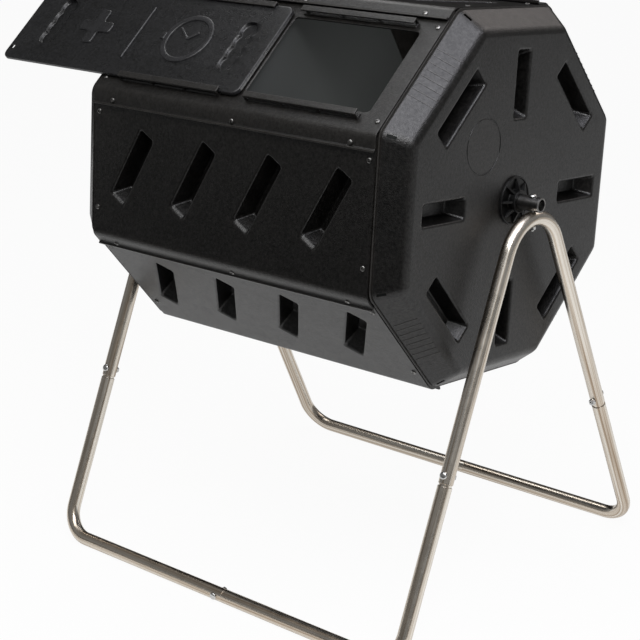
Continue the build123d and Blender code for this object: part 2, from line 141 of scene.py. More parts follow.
def tube_along(points, bend, plugs=(0, 0)):
    """Bored tube along straight runs joined by bends, with chamfered ends that may be swaged to plugs."""
    first = (points[1] - points[0]).normalized()
    last = (points[-1] - points[-2]).normalized()
    full = [points[0] + first * end_chamfer, *points[1:-1], points[-1] - last * end_chamfer]
    back = [points[-1] + last * plugs[1], *points[-2:0:-1], points[0] - first * plugs[0]]
    radii = [plug_radius if plug else edge_radius for plug in plugs]
    tube = bmesh.new()
    start = tube_ring(tube, back[-1], first, radii[0])
    ring = start
    if plugs[0]:
        ring = drawn(tube, ring, first * plugs[0])
        ring = resized(tube, ring, (0, 0, 0), points[0], plug_radius, edge_radius)
    ring = resized(tube, ring, first * end_chamfer, points[0], edge_radius, tube_radius)
    ring = bent(tube, ring, full, bend)
    ring = resized(tube, ring, last * end_chamfer, full[-1], tube_radius, edge_radius)
    if plugs[1]:
        ring = resized(tube, ring, (0, 0, 0), points[-1], edge_radius, plug_radius)
        ring = drawn(tube, ring, last * plugs[1])
    ring = resized(tube, ring, (0, 0, 0), back[0], radii[1], tube_bore)
    ring = bent(tube, ring, back, bend)
    bmesh.ops.bridge_loops(tube, edges=ring + start)
    faced_out(tube)
    return tube


def wired(socket, value):
    """Link a socket to another node's socket, or set its value."""
    if isinstance(value, bpy.types.NodeSocket):
        socket.id_data.links.new(value, socket)
    else:
        socket.default_value = value


def fill(node, **inputs):
    """Wire a shader node's inputs by name."""
    for name, value in inputs.items():
        wired(node.inputs[name.replace("_", " ")], value)
    return node


def put(tree, kind, **inputs):
    """Add a shader node and wire its inputs by name."""
    return fill(tree.nodes.new("ShaderNode" + kind), **inputs)


def reckon(tree, kind, operation, *values):
    """Add a maths node, wire its inputs in order and return its result."""
    made = tree.nodes.new("ShaderNode" + kind)
    made.operation = operation
    for socket, value in zip(made.inputs, values):
        wired(socket, value)
    return made.outputs[0]


def placed(tree):
    """A point's place on the object."""
    return put(tree, "TexCoord").outputs["Object"]


def noise(tree, place, scale, detail, **more):
    """Noise over a place, as a factor."""
    return put(tree, "TexNoise", Vector=place, Scale=scale, Detail=detail, **more).outputs["Fac"]


def between(tree, factor, low, high):
    """Spread the middle of a noise factor between two values."""
    spread = put(tree, "MapRange", Value=factor, From_Min=0.3, From_Max=0.7, To_Min=low, To_Max=high)
    return spread.outputs["Result"]


def bumped(tree, height, strength, distance, **more):
    """Normal of a surface with a noise factor as its relief."""
    return put(tree, "Bump", Height=height, Strength=strength, Distance=distance, **more).outputs["Normal"]


def ramp(tree, factor, stops):
    """Colour ramp over a factor; each stop is a place and a grey level or a colour."""
    made = put(tree, "ValToRGB", Fac=factor)
    elements = made.color_ramp.elements
    while len(elements) < len(stops):
        elements.new(0.5)
    for element, (position, colour) in zip(elements, stops):
        element.position = position
        level = colour if isinstance(colour, tuple) else (colour,) * 3
        element.color = (*level, 1)
    return made.outputs["Color"]


def blank_material(name):
    """New material with its node tree and its shader."""
    material = bpy.data.materials.new(name)
    material.use_nodes = True
    tree = material.node_tree
    return material, tree, tree.nodes["Principled BSDF"]


def settled(mesh, name):
    """Keep a bmesh as a mesh and let it go."""
    data = bpy.data.meshes.new(name)
    mesh.to_mesh(data)
    mesh.free()
    return data


def shown(name, data):
    """Object in the scene for a mesh, a lamp or a camera."""
    thing = bpy.data.objects.new(name, data)
    bpy.context.scene.collection.objects.link(thing)
    return thing


def finished(mesh, name, body, material, nodes=(), edge=0.0):
    """Make a bmesh a smooth-shaded piece with rounded edges that rides on a body and stands for CAD nodes."""
    for line in mesh.edges:
        line.smooth = bool(edge) or line.calc_face_angle(0) < sharp_angle
    for face in mesh.faces:
        face.smooth = True
    data = settled(mesh, name)
    data.materials.append(material)
    piece = shown(name, data)
    if edge:
        bevel = piece.modifiers.new("soft_edges", "BEVEL")
        bevel.width = edge
        bevel.segments = 2
        bevel.limit_method = "ANGLE"
        bevel.angle_limit = sharp_angle
    normals = piece.modifiers.new("flat_faces", "WEIGHTED_NORMAL")
    normals.weight = flat_weight
    normals.keep_sharp = True
    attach(piece, body)
    if nodes:
        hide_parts(*nodes)
    return piece


# Zinc skin of the tubes: a warm bright metal with brown and pale lengthwise streaks in its colour that are
# painted reflections, cloudy patches and dull spots.
galvanised, tree, shader = blank_material("galvanised_tube")
place = placed(tree)
round_tube = put(tree, "Attribute")
round_tube.attribute_name = "round_tube"
along_tube = reckon(tree, "VectorMath", "MULTIPLY", place, (reflection_streaks_along,) * 3)
around = round_tube.outputs["Vector"]
reflection_streak_place = reckon(tree, "VectorMath", "MULTIPLY_ADD", around, (reflection_streaks_round,) * 3, along_tube)
# Painted reflections: brown and pale streaks along the tube in the base colour.
painted_reflection_streaks = noise(tree, reflection_streak_place, 1.0, 4.0, Roughness=0.6)
clouds = noise(tree, place, 34.0, 6.0, Roughness=0.62)
spots = noise(tree, place, 260.0, 4.0, Roughness=0.6)
zinc_and_reflection_tones = [(0.34, (0.36, 0.27, 0.19)), (0.46, (0.62, 0.54, 0.445)), (0.58, (0.84, 0.79, 0.71))]
fill(shader, Base_Color=ramp(tree, painted_reflection_streaks, zinc_and_reflection_tones), Roughness=between(tree, clouds, 0.34, 0.22),
     Normal=bumped(tree, spots, 0.02, 0.0004), Metallic=1.0)

for side, side_name in ((-1, "front"), (1, "rear")):
    for hand, hand_name in hands:
        top = Vector((hand * leg_x, side * joint_y, joint_z))
        foot = Vector((hand * leg_x, side * rail_y, tube_radius))
        rail_end = Vector((rail_joint_x, side * rail_y, tube_radius))
        plugs = (plug_length, plug_length if hand > 0 else 0)
        leg = tube_along([top, foot, rail_end], foot_bend, plugs)
        node = "lower_leg_" + side_name + "_" + hand_name
        finished(leg, node + "_tube", "stand", galvanised, [node])

# Upper legs
# One length of the same tube at each end of the drum, bent over at the top like a hairpin. The axle lies in
# the bend, and the two straight sides slip over the lower legs.
leg_top_z = 704.75 * mm
apex_bend = 67.5 * mm
joint_gap = 3 * mm

for hand, hand_name in hands:
    top = Vector((hand * leg_x, 0, leg_top_z))
    ends = [Vector((hand * leg_x, side * joint_y, joint_z)) for side in (-1, 1)]
    ends = [end + (top - end).normalized() * joint_gap for end in ends]
    leg = tube_along([ends[0], top, ends[1]], apex_bend)
    node = "upper_leg_" + hand_name
    finished(leg, node + "_tube", "stand", galvanised, [node])

# Axle
# A straight length of tube through both hubs and the divider. It is open at both ends and bolted down on the
# two upper legs, and the drum turns on it.
axle_z = 633 * mm
axle_half = 371.5 * mm


def cloudy_metal(name, scale, detail, dark, bright, rough):
    """Bare metal with clouds in its tone and its gloss."""
    material, tree, shader = blank_material(name)
    clouds = noise(tree, placed(tree), scale, detail)
    tone = ramp(tree, clouds, [(0.35, dark), (0.65, bright)])
    fill(shader, Base_Color=tone, Roughness=between(tree, clouds, *rough), Metallic=1.0)
    return material


# Dark steel of the axle and the drum's screws.
dark_steel = cloudy_metal("dark_steel", 90.0, 5.0, (0.13, 0.128, 0.125), (0.26, 0.255, 0.247), (0.4, 0.28))
axle = tube_along([Vector((hand * axle_half, 0, axle_z)) for hand in (-1, 1)], 0)
finished(axle, "axle_tube_open", "stand", dark_steel, ["axle_tube"])

# Bolts and nuts
# Zinc plated round-headed bolts with hexagon nuts. Two hold the axle on the upper legs, four hold the leg
# joints and two the rail joints; each passes through both tube walls.
bolt_radius = 3 * mm
bolt_head = 6 * mm
bolt_head_height = 3.6 * mm
bolt_dome = ((0.0, 1.0), (0.42, 0.95), (0.75, 0.78), (0.94, 0.5), (1.0, 0.18), (1.0, 0.0))
bolt_end = 2.5 * mm
bolt_gap = 0.1 * mm
bolt_back = 15 * mm
nut_sides = 6
nut_radius = 5.5 * mm
nut_height = 5 * mm
nut_chamfer = 0.7 * mm
nut_drop = 0.37 * mm
turn_steps = 28
merge_gap = 0.001 * mm

zinc = cloudy_metal("zinc_fastener", 420.0, 3.0, (0.5, 0.5, 0.49), (0.74, 0.74, 0.73), (0.34, 0.2))


def fresh(mesh, before):
    """The points that a mesh has gained."""
    return [vert for vert in mesh.verts if vert not in before]


def moved(mesh, place, verts=None):
    """Take a mesh, or some of its points, to a place."""
    bmesh.ops.transform(mesh, matrix=place, verts=mesh.verts if verts is None else verts)


def turned(mesh, profile, place, steps=turn_steps):
    """Turn a row of (radius, height) points round the place's own Z axis into a closed shape."""
    verts = [mesh.verts.new((radius, 0, height)) for radius, height in profile]
    edges = [mesh.edges.new(pair) for pair in zip(verts, verts[1:])]
    before = set(mesh.verts) - set(verts)
    bmesh.ops.spin(mesh, geom=verts + edges, cent=(0, 0, 0), axis=(0, 0, 1), angle=2 * math.pi, steps=steps,
                   use_merge=True)
    made = fresh(mesh, before)
    bmesh.ops.remove_doubles(mesh, verts=made, dist=merge_gap)
    made = fresh(mesh, before)
    moved(mesh, place, made)


def looking(centre, along):
    """Place whose own Z axis looks along a direction."""
    return Matrix.Translation(centre) @ Vector(along).to_track_quat("Z", "Y").to_matrix().to_4x4()


def add_bolt(mesh, place, head_at, nut_at):
    """Bolt with a domed head that ends a little past its nut."""
    low = nut_at - nut_height - bolt_end
    profile = [(bolt_head * r, head_at + bolt_head_height * h) for r, h in bolt_dome]
    profile += [(bolt_radius, head_at), (bolt_radius, low + nut_chamfer)]
    profile += [(bolt_radius - nut_chamfer, low), (0, low)]
    turned(mesh, profile, place)


def add_nut(mesh, place, nut_at):
    """Hexagon nut with chamfered corners and a hole for its bolt."""
    top = place @ Matrix.Translation((0, 0, nut_at))
    inner = nut_radius - nut_chamfer
    out = nut_radius / inner
    hole = (bolt_radius + bolt_gap) / inner
    edges = ring_of(mesh, nut_sides, inner, top)
    ring = drawn(mesh, edges, (0, 0, -nut_chamfer / 2), (out, out, 1), top)
    ring = drawn(mesh, ring, (0, 0, nut_chamfer - nut_height), place=top)
    ring = drawn(mesh, ring, (0, 0, -nut_chamfer / 2), (1 / out, 1 / out, 1), top)
    ring = drawn(mesh, ring, (0, 0, 0), (hole, hole, 1), top)
    ring = drawn(mesh, ring, (0, 0, nut_height), place=top)
    bmesh.ops.bridge_loops(mesh, edges=ring + edges)


axle_places = [looking((hand * leg_x, 0, axle_z), (0, 0, 1)) for hand in (-1, 1)]
joint_places = []
for side in (-1, 1):
    up = Vector((0, -side * rail_y, leg_top_z - tube_radius)).normalized()
    for hand in (-1, 1):
        centre = Vector((hand * leg_x, side * joint_y, joint_z)) + up * bolt_back
        joint_places.append(looking(centre, (0, side * up.z, -side * up.y)))
    joint_places.append(looking((rail_joint_x - bolt_back, side * rail_y, tube_radius), (0, side, 0)))
fasteners = (("axle", axle_places, -3 * tube_radius - nut_drop), ("stand", joint_places, -tube_radius))
for group, places, nut_at in fasteners:
    bolts = bmesh.new()
    nuts = bmesh.new()
    for place in places:
        add_bolt(bolts, place, tube_radius, nut_at)
        add_nut(nuts, place, nut_at)
    for mesh, kind in ((bolts, "bolts"), (nuts, "nuts")):
        faced_out(mesh)
        node = group + "_" + kind
        finished(mesh, node + "_zinc", "stand", zinc, [node])

# Plain panels
# Seven moulded black polypropylene plates, each with four slanted pockets that stand into the drum as mixing
# fins. One long edge is bent into a flange that laps over the next panel and is screwed to it.
side_count = 8
side_angle = 360 / side_count
side_names = ("rear", "upper_rear", "top", "door", "front", "lower_front", "bottom", "lower_rear")
drum_turned = math.radians(-6)
apothem = 276 * mm
panel_wall = 3 * mm
panel_end = 279 * mm
panel_top = 106.6 * mm
bend_radius = 17 * mm
flange_out = 3.1 * mm
flange_low = 92.6 * mm
flange_steps = 12
lip_bend = 2.4 * mm
lip_turn = math.radians(80)
lip_rise = 1.6 * mm
lip_steps = 5
pocket_pitch = 130 * mm
pocket_count = 4
pocket_v = -4 * mm
pocket_turn = math.radians(60)
pocket_lip = 6 * mm
pocket_mouth = (126 * mm + pocket_lip, 30 * mm + 1.5 * pocket_lip)
pocket_corner = 6 * mm
pocket_steps = ((1.9, 1.9, 0.3), (3.4, 3.2, 1.3, 0.3), (4.4, 3.7, 2.4, 0.6), (5.5, 3.8, 4.0, 1.1),
                (6.5, 4.0, 5.6, 1.6), (15.4, 8.6, 28.0, 2.1), (16.6, 9.6, 30.6, 2.1), (18.6, 11.2, 31.9, 2.1))
corner_steps = 5
soft_edge = 0.7 * mm
# How much paler the sharp edges are: partly rubbing, partly a painted highlight.
edge_wear_and_highlight_pale = 5
slant = math.sqrt(0.5)
bend_at = (apothem + flange_out - bend_radius) / slant - apothem + bend_radius
flange_run = (apothem - bend_radius - bend_at) * slant - flange_low
plate_width = panel_top + bend_at
plate_middle = Matrix.Translation((0, (panel_top - bend_at) / 2, 0))


def black_plastic(name, deep, pale, rough, grain_height, shine=0.48):
    """Satin black moulding: fine grain, slow drifts in tone and gloss, and a paler colour along the sharp
    edges that is partly rubbing and partly painted highlight.
    """
    material, tree, shader = blank_material(name)
    place = placed(tree)
    drift = noise(tree, place, 5.0, 5.0, Roughness=0.6)
    scuff = noise(tree, place, 60.0, 8.0, Roughness=0.7, Distortion=0.6)
    grain = noise(tree, place, 640.0, 1.0)
    ripple = noise(tree, place, 9.0, 2.0, Roughness=0.4)
    speckle = noise(tree, place, 230.0, 2.0, Roughness=0.6)
    mottle = put(tree, "Mix", Factor=0.7, A=drift, B=speckle)
    tone = ramp(tree, mottle.outputs["Result"], [(0.36, deep), (0.64, pale)])
    # Paler colour on sharp edges, masked by scuffs: partly rubbing, partly a painted highlight along the
    # edges.
    edge_wear_and_highlight_mask = ramp(tree, put(tree, "NewGeometry").outputs["Pointiness"], [(0.51, 0.0), (0.58, 1.0)])
    edge_wear_and_highlight = put(tree, "Mix", Factor=reckon(tree, "Math", "MULTIPLY", edge_wear_and_highlight_mask, scuff))
    edge_wear_and_highlight.data_type = "RGBA"
    wired(edge_wear_and_highlight.inputs[6], tone)
    wired(edge_wear_and_highlight.inputs[7], (*(level * edge_wear_and_highlight_pale for level in pale), 1))
    waves = bumped(tree, ripple, 0.2, 0.002)
    fill(shader, Specular_IOR_Level=shine)
    fill(shader, Base_Color=edge_wear_and_highlight.outputs[2], Roughness=between(tree, scuff, rough - 0.04, rough + 0.05),
         Specular_IOR_Level=between(tree, speckle, 0.85 * shine, 1.15 * shine),
         Normal=bumped(tree, grain, 0.8, grain_height, Normal=waves))
    return material


drum_black = ((0.0012, 0.0011, 0.001), (0.0076, 0.007, 0.0063))
drum_plastic = black_plastic("drum_black_plastic", *drum_black, 0.32, 0.0005)


def drum_frame(angle=0.0):
    """The turned drum's frame at the axle, turned on to one of its sides."""
    return Matrix.Translation((0, 0, axle_z)) @ Matrix.Rotation(drum_turned + math.radians(angle), 4, "X")


def on_side(angle, x=0.0, v=0.0, out=0.0):
    """Place on a drum side: its own x along the axle, y up the side and z outwards."""
    spot = Matrix.Translation((x, apothem + out, -v))
    return drum_frame(angle) @ spot @ Matrix.Rotation(-math.pi / 2, 4, "X")


def rounded(mesh, parts, offset, segments, affect="EDGES"):
    """Round a shape's edges, or a flat outline's corners."""
    bmesh.ops.bevel(mesh, geom=parts, offset=offset, affect=affect, segments=segments, profile=0.5,
                    material=-1)


def flat_filled(mesh, edges):
    """Fill a flat outline and leave the outlines inside it open."""
    bmesh.ops.triangle_fill(mesh, use_beauty=True, edges=edges, normal=(0, 0, 1))


def outline(mesh, length, width, corner, place):
    """Closed row of edges round a rectangle with rounded corners."""
    before = set(mesh.verts)
    plate = bmesh.ops.create_grid(mesh, x_segments=1, y_segments=1, size=0.5)["verts"]
    bmesh.ops.scale(mesh, vec=(length, width, 1), verts=plate)
    if corner:
        rounded(mesh, plate, corner, corner_steps, "VERTICES")
    verts = fresh(mesh, before)
    faces = {face for vert in verts for face in vert.link_faces}
    edges = list({edge for face in faces for edge in face.edges})
    bmesh.ops.delete(mesh, geom=list(faces), context="FACES_ONLY")
    moved(mesh, place, verts)
    return edges


def sunk(mesh, edges, place, size, steps):
    """Draw a mouth inwards through (end inset, side inset, depth, shift along) steps and close its floor."""
    half = (size[0] / 2, size[1] / 2)
    old = (0, 0, 0, 0)
    for step in steps:
        new = (*step, 0)[:4]
        grow = [(half[i] - new[i] * mm) / (half[i] - old[i] * mm) for i in (0, 1)]
        by = ((new[3] - old[3] * grow[0]) * mm, 0, (old[2] - new[2]) * mm)
        edges = drawn(mesh, edges, by, (*grow, 1), place)
        old = new
    bmesh.ops.edgeloop_fill(mesh, edges=edges)


def skinned(mesh, wall):
    """Turn an open skin that faces +Z outwards and give it its wall."""
    faced_out(mesh)
    largest = max(mesh.faces, key=lambda face: face.calc_area())
    if largest.normal.z < 0:
        bmesh.ops.reverse_faces(mesh, faces=mesh.faces)
    bmesh.ops.solidify(mesh, geom=mesh.faces[:], thickness=wall)


def flanged(mesh, plate_edges):
    """Bend the plate's low edge round on to the next side, draw out the flange and turn its lip outwards."""
    row = [edge for edge in plate_edges if all(abs(vert.co.y + bend_at) < soft_edge for vert in edge.verts)]
    fall = flange_run * slant
    lip_start = Vector((0, -bend_at - slant * bend_radius - fall, (slant - 1) * bend_radius - fall))
    lip_centre = lip_start + Vector((0, -slant, slant)) * lip_bend
    lip_along = Matrix.Rotation(-lip_turn, 3, "X") @ Vector((0, -slant, -slant))
    row = swung(mesh, row, (0, -bend_at, -bend_radius), (1, 0, 0), math.radians(side_angle), flange_steps)
    row = drawn(mesh, row, (0, -fall, -fall))
    row = swung(mesh, row, lip_centre, (1, 0, 0), -lip_turn, lip_steps)
    drawn(mesh, row, lip_along * lip_rise)


for i, side_name in enumerate(side_names):
    if side_name == "door":
        continue
    panel = bmesh.new()
    rim = outline(panel, 2 * panel_end, plate_width, 0, plate_middle)
    places = []
    for j in range(pocket_count):
        x = (j - (pocket_count - 1) / 2) * pocket_pitch
        places.append(Matrix.Translation((x, pocket_v, 0)) @ Matrix.Rotation(pocket_turn, 4, "Z"))
    mouths = [outline(panel, *pocket_mouth, pocket_corner, place) for place in places]
    flat_filled(panel, rim + sum(mouths, []))
    for mouth, place in zip(mouths, places):
        sunk(panel, mouth, place, pocket_mouth, pocket_steps)
    flanged(panel, rim)
    skinned(panel, panel_wall)
    moved(panel, on_side(i * side_angle))
    node = side_name + "_panel"
    finished(panel, node + "_moulding", "drum", drum_plastic, [node], soft_edge)

# Door panel
# The eighth panel has no pockets. It has a window over each chamber, and above and below each window a hooked
# rail with three slots in its wall, moulded in one with the panel, that the sliding door runs in.
door_angle = side_angle * side_names.index("door")
window_x = (13 * mm, 246 * mm)
window_v = (-85 * mm, 64 * mm)
window_corner = 8 * mm
rail_x = (26 * mm, 235 * mm)
rail_v = ((-96.2 * mm, 1), (76.2 * mm, -1))
rail_wall = 2.6 * mm
rail_lip = 7.4 * mm
rail_ledge = 7 * mm
ledge_out = 2.3 * mm
lip_out = 9.1 * mm
slot_count = 3
slot_bar = 5 * mm
slot_out = 6.8 * mm
near = 0.01 * mm
rail_length = rail_x[1] - rail_x[0]
slot_pitch = (rail_length - slot_bar) / slot_count


def sliced(mesh, point, normal, clear=False):
    """Cut a mesh by a plane, and clear what lies beyond it if asked."""
    geometry = mesh.verts[:] + mesh.edges[:] + mesh.faces[:]
    bmesh.ops.bisect_plane(mesh, geom=geometry, dist=merge_gap, plane_co=point, plane_no=normal,
                           clear_outer=clear)


def hooked_rail(left, v, inward):
    """One rail: a ledge, a wall with slots in it, and a lip that hooks over the door's edge."""
    rail = bmesh.new()
    foot = [rail.verts.new((x, v + inward * rail_ledge, ledge_out)) for x in (left, left + rail_length)]
    row = drawn(rail, [rail.edges.new(foot)], (0, -inward * rail_ledge, 0))
    row = drawn(rail, row, (0, 0, lip_out - ledge_out))
    drawn(rail, row, (0, inward * rail_lip, 0))
    sliced(rail, (0, 0, slot_out), (0, 0, 1))
    for i in range(slot_count):
        start = left + slot_bar + i * slot_pitch
        for x in (start, start + slot_pitch - slot_bar):
            sliced(rail, (x, 0, 0), (1, 0, 0))
    openings = []
    for face in rail.faces:
        middle = face.calc_center_median()
        share = ((middle.x - left - slot_bar) % slot_pitch) / (slot_pitch - slot_bar)
        if ledge_out < middle.z < slot_out and abs(middle.y - v) < near and share < 1:
            openings.append(face)
    bmesh.ops.delete(rail, geom=openings, context="FACES")
    faced_out(rail)
    ledge = next(face for face in rail.faces if abs(face.calc_center_median().z - ledge_out) < near)
    if ledge.normal.z < 0:
        bmesh.ops.reverse_faces(rail, faces=rail.faces)
    bmesh.ops.solidify(rail, geom=rail.faces[:], thickness=rail_wall)
    return rail


def joined(mesh, extra):
    """Mould another shape in one with a mesh."""
    data = settled(extra, "extra")
    mesh.from_mesh(data)
    bpy.data.meshes.remove(data)


panel = bmesh.new()
rim = outline(panel, 2 * panel_end, plate_width, 0, plate_middle)
for hand in (-1, 1):
    centre = Matrix.Translation((hand * sum(window_x) / 2, sum(window_v) / 2, 0))
    rim += outline(panel, window_x[1] - window_x[0], window_v[1] - window_v[0], window_corner, centre)
flat_filled(panel, rim)
flanged(panel, rim)
skinned(panel, panel_wall)
for left in (-rail_x[1], rail_x[0]):
    for v, inward in rail_v:
        joined(panel, hooked_rail(left, v, inward))
moved(panel, on_side(door_angle))
finished(panel, "door_panel_moulding", "drum", drum_plastic, ["door_panel"], soft_edge)

# Divider
# A black plastic wall across the middle of the drum makes two chambers of it. A tab under each lapped flange
# takes the middle screw, and a smooth grey sheet, cut back at the upper rear, covers each face of the wall.
divider_apothem = 272.9 * mm
divider_wall = 3 * mm
divider_hole = 11.7 * mm
hole_sides = 48
tab_size = (26 * mm, 26 * mm, 6 * mm)
tab_v = 95.3 * mm
sheet_apothem = 268 * mm
sheet_wall = 0.8 * mm
sheet_cut = 201.5 * mm
sheet_cut_angle = math.radians(36.3)
octagon_turn = math.pi / side_count
octagon_reach = 1 / math.cos(octagon_turn)
end_on = Matrix(((0, 0, 1, 0), (1, 0, 0, 0), (0, 1, 0, 0), (0, 0, 0, 1)))

sheet_grey, tree, shader = blank_material("divider_grey_sheet")
place = placed(tree)
drift = noise(tree, place, 7.0, 4.0)
tone = ramp(tree, drift, [(0.3, (0.042, 0.0446, 0.0436)), (0.7, (0.0466, 0.0494, 0.0484))])
grain = noise(tree, place, 900.0, 2.0)
fill(shader, Base_Color=tone, Roughness=0.7, Specular_IOR_Level=0.1, Normal=bumped(tree, grain, 0.2, 0.0001))


def octagon_place(height):
    """Place of an octagon with flat sides up and down the drum."""
    return Matrix.Translation((0, 0, height)) @ Matrix.Rotation(octagon_turn, 4, "Z")


def octagon_plate(mesh, half_across, wall, top):
    """Flat octagon with a hole for the axle, its upper face at height top."""
    rim = ring_of(mesh, side_count, half_across * octagon_reach, octagon_place(top))
    hole = ring_of(mesh, hole_sides, divider_hole, Matrix.Translation((0, 0, top)))
    flat_filled(mesh, rim + hole)
    skinned(mesh, wall)


def on_end(mesh, hand):
    """Turn a shape from its own Z axis on to the axle, towards the right end or mirrored to the left one."""
    moved(mesh, end_on)
    if hand < 0:
        bmesh.ops.scale(mesh, vec=(-1, 1, 1), verts=mesh.verts)
        bmesh.ops.reverse_faces(mesh, faces=mesh.faces)
    moved(mesh, drum_frame())


divider = bmesh.new()
octagon_plate(divider, divider_apothem, divider_wall, divider_wall / 2)
on_end(divider, 1)
for i in range(side_count):
    place = on_side(i * side_angle, tab_size[0] / 2, tab_v, divider_apothem - apothem - tab_size[2] / 2)
    bmesh.ops.create_cube(divider, size=1, matrix=place @ Matrix.Diagonal((*tab_size, 1)))
finished(divider, "divider_wall_plate", "drum", drum_plastic, ["divider_wall"], soft_edge)

cut_along = Vector((math.cos(sheet_cut_angle), math.sin(sheet_cut_angle), 0))
for hand, hand_name in hands:
    sheet = bmesh.new()
    octagon_plate(sheet, sheet_apothem, sheet_wall, divider_wall / 2 + sheet_wall)
    sliced(sheet, cut_along * sheet_cut, cut_along, True)
    bmesh.ops.holes_fill(sheet, edges=[edge for edge in sheet.edges if edge.is_boundary])
    on_end(sheet, hand)
    faced_out(sheet)
    finished(sheet, "divider_sheet_" + hand_name, "drum", sheet_grey)

# End caps
# A dished black moulding closes each end: a flat octagonal face with eight pockets, a slanted band with fine
# grip lines on every other side and a slot at each corner, and a skirt screwed inside the panels' ends.
band_start = 280.5 * mm
band_low = 285 * mm
face_x = 322 * mm
face_apothem = 246 * mm
cap_wall = 3.5 * mm
cap_edge = 9 * mm
cap_edge_steps = 5
skirt_length = 24 * mm
cap_pockets = ((100 * mm, 33 * mm, 169 * mm, 0), (121 * mm, 33 * mm, 203 * mm, math.pi / 2))
badge_radius = 42 * mm
badge_distance = 121 * mm
badge_sides = 56
hub_bore = 17.1 * mm
bore_sides = 40
slot_size = (14 * mm, 4.5 * mm, 22 * mm)
slot_from_seam = 15 * mm
line_count = 8
line_pitch = 11.9 * mm
line_size = (38 * mm, 1.5 * mm, 0.9 * mm)
line_edge = 0.3 * mm
bead_steps = ((282.7, 275.0), (282.4, 275.6), (281.6, 275.6), (281.3, 275.0), (281.3, 272.9))
cap_steps = ((1.9, 1.9, 0.3), (3.4, 3.4, 1.3), (4.3, 4.2, 2.8), (4.8, 4.6, 4.8), (14.9, 8.7, 24.6),
             (16.1, 9.7, 26.8), (18.1, 11.3, 27.9))
badge_steps = ((0.5, 0.5, 0.2), (0.8, 0.8, 0.8), (2.6, 2.6, 0.8), (2.9, 2.9, 0.3), (3.5, 3.5, 0.1))
band_fall = (apothem - face_apothem) / (face_x - band_start)
low_apothem = apothem - band_fall * (band_low - band_start)
face_out = Matrix.Translation((0, 0, face_x))
badge_spot = Matrix.Rotation(math.radians(door_angle), 4, "Z") @ Vector((badge_distance, 0, face_x))
badge_place = Matrix.Translation(badge_spot)


def octagon_face(mesh, half_across, height):
    """Flat octagon that a cap or its seam bead is drawn from."""
    bmesh.ops.create_circle(mesh, cap_ends=True, segments=side_count, radius=half_across * octagon_reach,
                            matrix=octagon_place(height))


def cap_skin():
    """The dished cap from its face to its skirt, with its wall but without its slots."""
    cap = bmesh.new()
    octagon_face(cap, face_apothem, face_x)
    flare = low_apothem / face_apothem
    drawn(cap, cap.edges[:], (0, 0, band_low - face_x), (flare, flare, 1))
    rounded(cap, [edge for edge in cap.edges if not edge.is_boundary], cap_edge, cap_edge_steps)
    tuck = divider_apothem / low_apothem
    skirt = drawn(cap, [edge for edge in cap.edges if edge.is_boundary], (0, 0, 0), (tuck, tuck, 1))
    drawn(cap, skirt, (0, 0, -skirt_length))
    flat = max(cap.faces, key=lambda face: face.calc_area())
    rim = flat.edges[:]
    bmesh.ops.delete(cap, geom=[flat], context="FACES_ONLY")
    mouths = []
    for i in range(side_count):
        length, width, distance, turn = cap_pockets[i % 2]
        lift = Matrix.Rotation(2 * i * octagon_turn, 4, "Z")
        place = lift @ Matrix.Translation((distance, 0, face_x)) @ Matrix.Rotation(turn, 4, "Z")
        mouths.append(((length + pocket_lip, width + pocket_lip), place))
    loops = [outline(cap, *size, pocket_corner, place) for size, place in mouths]
    badge = ring_of(cap, badge_sides, badge_radius, badge_place)
    hole = ring_of(cap, bore_sides, hub_bore, face_out)
    flat_filled(cap, rim + sum(loops, []) + badge + hole)
    for loop, (size, place) in zip(loops, mouths):
        sunk(cap, loop, place, size, cap_steps)
    sunk(cap, badge, badge_place, (2 * badge_radius, 2 * badge_radius), badge_steps)
    skinned(cap, cap_wall)
    return cap


def seam_bead():
    """Thin raised line round the seam between the panels and the cap."""
    bead = bmesh.new()
    old_x, old_half = bead_steps[0][0], divider_apothem / mm
    octagon_face(bead, divider_apothem, old_x * mm)
    rounded(bead, bead.verts[:], cap_edge, cap_edge_steps, "VERTICES")
    root = bead.edges[:]
    bmesh.ops.delete(bead, geom=bead.faces[:], context="FACES_ONLY")
    row = root
    for x, half in bead_steps:
        row = drawn(bead, row, (0, 0, (x - old_x) * mm), (half / old_half, half / old_half, 1))
        old_x, old_half = x, half
    bmesh.ops.bridge_loops(bead, edges=row + root)
    faced_out(bead)
    return bead


def on_band(mesh, turn, size, out, along, x):
    """Block on the slanted band, at an angle round the axle; out is the reach of a side or a corner."""
    slope = Matrix.Rotation(math.pi / 2 - math.atan(band_fall * out), 4, "Y")
    spot = Matrix.Translation(((apothem - band_fall * x) * out, along, band_start + x))
    place = Matrix.Rotation(turn, 4, "Z") @ spot @ slope
    bmesh.ops.create_cube(mesh, size=1, matrix=place @ Matrix.Diagonal((*size, 1)))


def slotted(piece, cutter):
    """Cut the slots out of a cap's mesh before its edges are softened."""
    knife_data = settled(cutter, "slot_knife")
    knife = shown("slot_knife", knife_data)
    cut = piece.modifiers.new("slots", "BOOLEAN")
    cut.object = knife
    cut.operation = "DIFFERENCE"
    cut.solver = "EXACT"
    piece.modifiers.move(2, 0)
    for modifier in piece.modifiers[1:]:
        modifier.show_viewport = False
    bpy.context.view_layer.update()
    data = bpy.data.meshes.new_from_object(piece.evaluated_get(bpy.context.evaluated_depsgraph_get()))
    piece.modifiers.remove(cut)
    for modifier in piece.modifiers:
        modifier.show_viewport = True
    piece.data = data
    bpy.data.objects.remove(knife)
    bpy.data.meshes.remove(knife_data)


